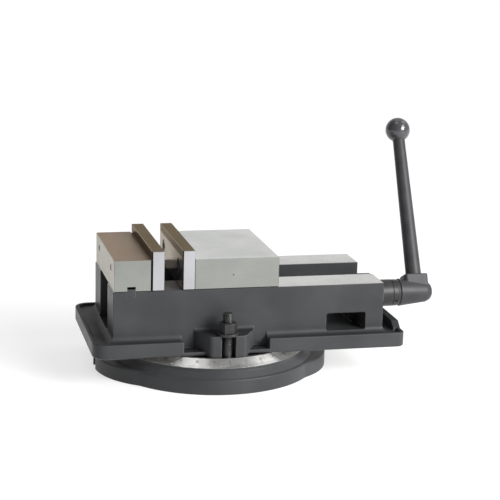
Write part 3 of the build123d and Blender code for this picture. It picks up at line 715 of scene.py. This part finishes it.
# ---------------------------------------------------------------- lead screw
# A left-hand trapezoidal thread of 5 mm lead, rolled on a steel bar, then a journal, a
# thrust collar, a long shank and the hexagon that the crank pushes on.
screw_line = 0.0804
thread_left = -0.050
thread_right = 0.168
screw_crest = 0.0140
screw_root = 0.0116
screw_lead = 0.005
collar_left = 0.1842
shank_left = 0.1898
hexagon_left = 0.2394
hexagon_right = 0.2835
collar_radius = 0.0172
shank_radius = 0.0100
hexagon_flat = 0.0095
hexagon_lean = radians(26.8)
hexagon_chamfer = 0.0008
collar_chamfer = 0.0004
groove_step = 0.0008
screw_sides = 48
shank_sides = 64
screw_run_out = 0.003
screw_easing = 0.0003
screw_rings = (4200.0, 90.0, 90.0)
screw_gloss = (0.16, 0.30)
screw_grease = (0.075, 0.065, 0.05, 1)
grease_patches = (160.0, 3.0, 0.30, 0.60)
grease_mask = 0.7
grease_dulling = 0.12
groove_edge = 0.0004

screw_steel, start = new_finish("screw_steel")
place = start.node("TexCoord", out="Object")
x = split(place)[0]
eased = rounded_edges(start, screw_easing)
rings = grain(stretched(place, *screw_rings), 1.0)
from_line = start.node("VectorMath", {"operation": "SUBTRACT"}, {0: place, 1: (0, 0, screw_line)})
radial = stretched(from_line, 0, 1, 1)
reach = start.node("VectorMath", {"operation": "LENGTH"}, {0: radial}, "Value")
threaded = fall(x, thread_right, thread_right + overlap)
in_groove = fall(reach, screw_root, screw_crest - groove_edge) * threaded
grease = in_groove * patches(place, *grease_patches)
close_finish(start, {
    "Base Color": blended(grease, steel_bright, screw_grease),
    "Metallic": 1 - grease * grease_mask,
    "Roughness": shifted(rings, *screw_gloss) + grease * grease_dulling,
    "Normal": bumped(rings, ring_relief, eased),
})
form = bmesh.new()
helix(
    form, thread_left, thread_right, screw_root, screw_crest, screw_lead, -1, screw_sides, screw_run_out
)
lathe(form, (
    (thread_right - overlap, screw_crest - groove_step),
    (thread_right, screw_crest),
    (collar_left, screw_crest),
    (collar_left, collar_radius - collar_chamfer),
    (collar_left + collar_chamfer, collar_radius),
    (shank_left - collar_chamfer, collar_radius),
    (shank_left, collar_radius - collar_chamfer),
    (shank_left, shank_radius),
    (hexagon_left, shank_radius),
), shank_sides)
hexagon_corner = hexagon_flat / cos(pi / 6)
lathe(form, (
    (hexagon_left - overlap, hexagon_corner),
    (hexagon_right - hexagon_chamfer, hexagon_corner),
    (hexagon_right, hexagon_corner * (1 - hexagon_chamfer / hexagon_flat)),
), 6)
lean = Matrix.Rotation(-hexagon_lean, 4, "X")
laid_along = Matrix.Translation((0, 0, screw_line)) @ lean @ Matrix.Rotation(pi / 2, 4, "Y")
bmesh.ops.transform(form, matrix=laid_along, verts=form.verts)
threaded_screw = new_piece("threaded_screw", form, screw_steel)
crisp(threaded_screw)
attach(threaded_screw, "screw")
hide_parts("lead_screw")

# ---------------------------------------------------------------- fixed jaw
# A steel block, ground on every face and bolted down on the ways' left end. Its sides
# are tinted darker than bright ground steel as painted shade. Its top wears a brown film
# of rust-proofing wax, darkened towards the plate by painted shade, and the seam against
# the plate carries a painted black shadow.
wax_light = (0.270, 0.190, 0.128, 1)
# The darker wax tone is partly painted shade, laid on towards the plate.
wax_dark_and_shade = (0.165, 0.122, 0.085, 1)
wax_glance = (1.0, 0.94, 0.88, 1)
# The jaw blocks' sides are tinted darker than their tops as painted shade.
shaded_side_bright = (0.325, 0.336, 0.312, 1)
shaded_side_dull = (0.262, 0.272, 0.250, 1)
top_bright = (0.66, 0.67, 0.65, 1)
top_dull = (0.54, 0.55, 0.53, 1)
# Black for the painted shadow in the seams and along the feet of the jaws and plates.
seam_shadow_black = (0.014, 0.014, 0.014, 1)
jaw_left = -0.132
jaw_right = -0.0875
seam = 0.0012
foot_seam = 0.0007
wax_foot = 0.1515
wax_fade = 0.002
wax_streaks = (160.0, 18.0, 18.0)
# Share of the painted shade that darkens the film towards the plate.
plate_shade_share = 0.6
wax_dulling = 0.10
cloud_dulling = 0.04
jaw_metal = 0.92
jaw_easing = 0.0005
jaw_relief = 0.000006
top_facing = (0.6, 0.9)
back_facing = (-0.9, -0.8)
front_facing = (-0.6, -0.4)
jaw_lines = (3000.0, 60.0, 900.0)
jaw_gloss = (0.24, 0.38)
shaded_block_sides = (shaded_side_bright, shaded_side_dull)
block_tops = (top_bright, top_dull)


def jaw_finish(name, lines, sides, tops, roughness, wax=None, dark=(), glance=white):
    """Ground steel. Wax is a film's two tones (the darker partly painted shade), dark holds the
    X of each seam given a painted shadow and glance is the tint of what the steel mirrors at a low
    angle."""
    material, start = new_finish(name)
    place = start.node("TexCoord", out="Object")
    across, along, upward = split(start.node("TexCoord", out="Normal"))
    x, _, z = split(place)
    on_top = rise(upward, *top_facing)
    # Where sides and tops get different tones, the darker sides are painted shade.
    steel, scratches, clouds = ground(place, lines, *sides)
    steel = blended(on_top, steel, ground(place, lines, *tops)[0])
    rough = shifted(scratches, *roughness) + clouds * cloud_dulling
    if wax:
        streaks = grain(stretched(place, *wax_streaks), 1.0, 3.0)
        # Painted shade: the film darkens towards the plate, over real streaks of film.
        film_and_shade = rise(x, jaw_left, jaw_right) * plate_shade_share + streaks * (1 - plate_shade_share)
        back_film_and_shade = fall(across, *back_facing) * rise(z, wax_foot, wax_foot + wax_fade)
        cover = start.maths("MAXIMUM", on_top, back_film_and_shade)
        steel = blended(cover, steel, blended(film_and_shade, *wax))
        rough = rough + cover * wax_dulling
    # Painted shadow: a black line along the foot, where the steel meets the ways, and beside each
    # listed seam on the front faces.
    seam_shadow_mask = fall(z, way_top + foot_seam, way_top + foot_seam + 3 * hair)
    for edge in dark:
        right_of = rise(x, edge - seam, edge - seam + hair)
        left_of = fall(x, edge + seam, edge + seam + hair)
        beside = right_of * left_of * fall(along, *front_facing)
        seam_shadow_mask = start.maths("MAXIMUM", seam_shadow_mask, beside)
    steel = blended(seam_shadow_mask, steel, seam_shadow_black)
    close_finish(start, {
        "Base Color": steel,
        "Metallic": jaw_metal,
        "Specular Tint": glance,
        "Roughness": rough,
        "Normal": bumped(scratches, jaw_relief, rounded_edges(start, jaw_easing)),
    })
    return material


fixed_steel = jaw_finish(
    "waxed_steel",
    jaw_lines,
    shaded_block_sides,
    block_tops,
    jaw_gloss,
    wax=(wax_light, wax_dark_and_shade),
    dark=(jaw_right,),
    glance=wax_glance,
)
clothe("fixed_jaw", fixed_steel)

# ---------------------------------------------------------------- jaw plates
# Hardened plates with lapped faces, held by two socket screws each. Darker wax has browned
# their top edges, and the fixed plate's back above the jaw is dark brown, partly film and
# partly painted shade. Their seams carry painted black shadows.
plate_bright = (0.50, 0.50, 0.52, 1)
plate_dull = (0.42, 0.42, 0.44, 1)
plate_wax_light = (0.175, 0.130, 0.088, 1)
# The darker plate tone: partly film, partly painted shade on the fixed plate's back.
plate_wax_dark_and_shade = (0.085, 0.066, 0.040, 1)
plate_glance = (0.62, 0.55, 0.46, 1)
plate_tones = (plate_bright, plate_dull)
plate_lines = (900.0, 70.0, 2600.0)
plate_gloss = (0.12, 0.22)

plate_steel = jaw_finish(
    "lapped_steel",
    plate_lines,
    plate_tones,
    plate_tones,
    plate_gloss,
    wax=(plate_wax_light, plate_wax_dark_and_shade),
    dark=(jaw_right, gap_right),
    glance=plate_glance,
)
clothe("fixed_jaw_plate", plate_steel)
clothe("movable_jaw_plate", plate_steel)

# ---------------------------------------------------------------- movable jaw
# A heavier ground block that slides on the ways and is pulled down by the carriage as
# the screw closes it. It carries no wax; its sides are tinted darker than its top as painted
# shade, and a painted black shadow runs along its foot.
block_lines = (60.0, 2800.0, 900.0)
block_gloss = (0.26, 0.40)

block_steel = jaw_finish("ground_steel", block_lines, shaded_block_sides, block_tops, block_gloss)
clothe("movable_jaw", block_steel)

# ---------------------------------------------------------------- crank
# A cast hub that pushes on the screw's hexagon and a turned, tapered bar, both in dark
# satin enamel that hands and knocks have rubbed paler.
crank_enamel = (0.033, 0.033, 0.036, 1)
crank_rubbed = (0.060, 0.060, 0.063, 1)
crank_easing = 0.0012
crank_handling = (30.0, 4.0, 0.38, 0.70)
crank_chips = (220.0, 3.0, 0.50, 0.62)
handled_share = 0.6
chip_share = 0.4
crank_grain = (60.0, 3.0)
crank_gloss = (0.40, 0.54)
crank_shine = 0.3
crank_sand = (600.0, 2.0)
crank_relief = 0.00006

crank_paint, start = new_finish("crank_enamel")
place = start.node("TexCoord", out="Object")
eased = rounded_edges(start, crank_easing)
handled = patches(place, *crank_handling)
chips = edge_mask(start, eased) * patches(place, *crank_chips)
worn = handled * handled_share + chips * chip_share
close_finish(start, {
    "Base Color": blended(worn, crank_enamel, crank_rubbed),
    "Roughness": shifted(grain(place, *crank_grain), *crank_gloss),
    "Specular IOR Level": crank_shine,
    "Normal": bumped(grain(place, *crank_sand), crank_relief, eased),
})
clothe("crank_hub", crank_paint)
clothe("crank_bar", crank_paint)

# ---------------------------------------------------------------- ball knob
# A ball on the free end of the bar, in dark enamel with a smooth, shiny coat.
ball_grey = (0.040, 0.040, 0.044, 1)
ball_pale = (0.055, 0.055, 0.060, 1)
ball_tones = (80.0, 3.0)
ball_grain = (160.0, 3.0)
ball_gloss = (0.10, 0.20)
ball_coat = 0.4
ball_ripple = 500.0
ball_relief = 0.00002

ball_paint, start = new_finish("polished_ball")
place = start.node("TexCoord", out="Object")
close_finish(start, {
    "Base Color": blended(grain(place, *ball_tones), ball_grey, ball_pale),
    "Roughness": shifted(grain(place, *ball_grain), *ball_gloss),
    "Coat Weight": ball_coat,
    "Normal": bumped(grain(place, ball_ripple), ball_relief, start.node("NewGeometry", out="Normal")),
})
clothe("ball_knob", ball_paint)
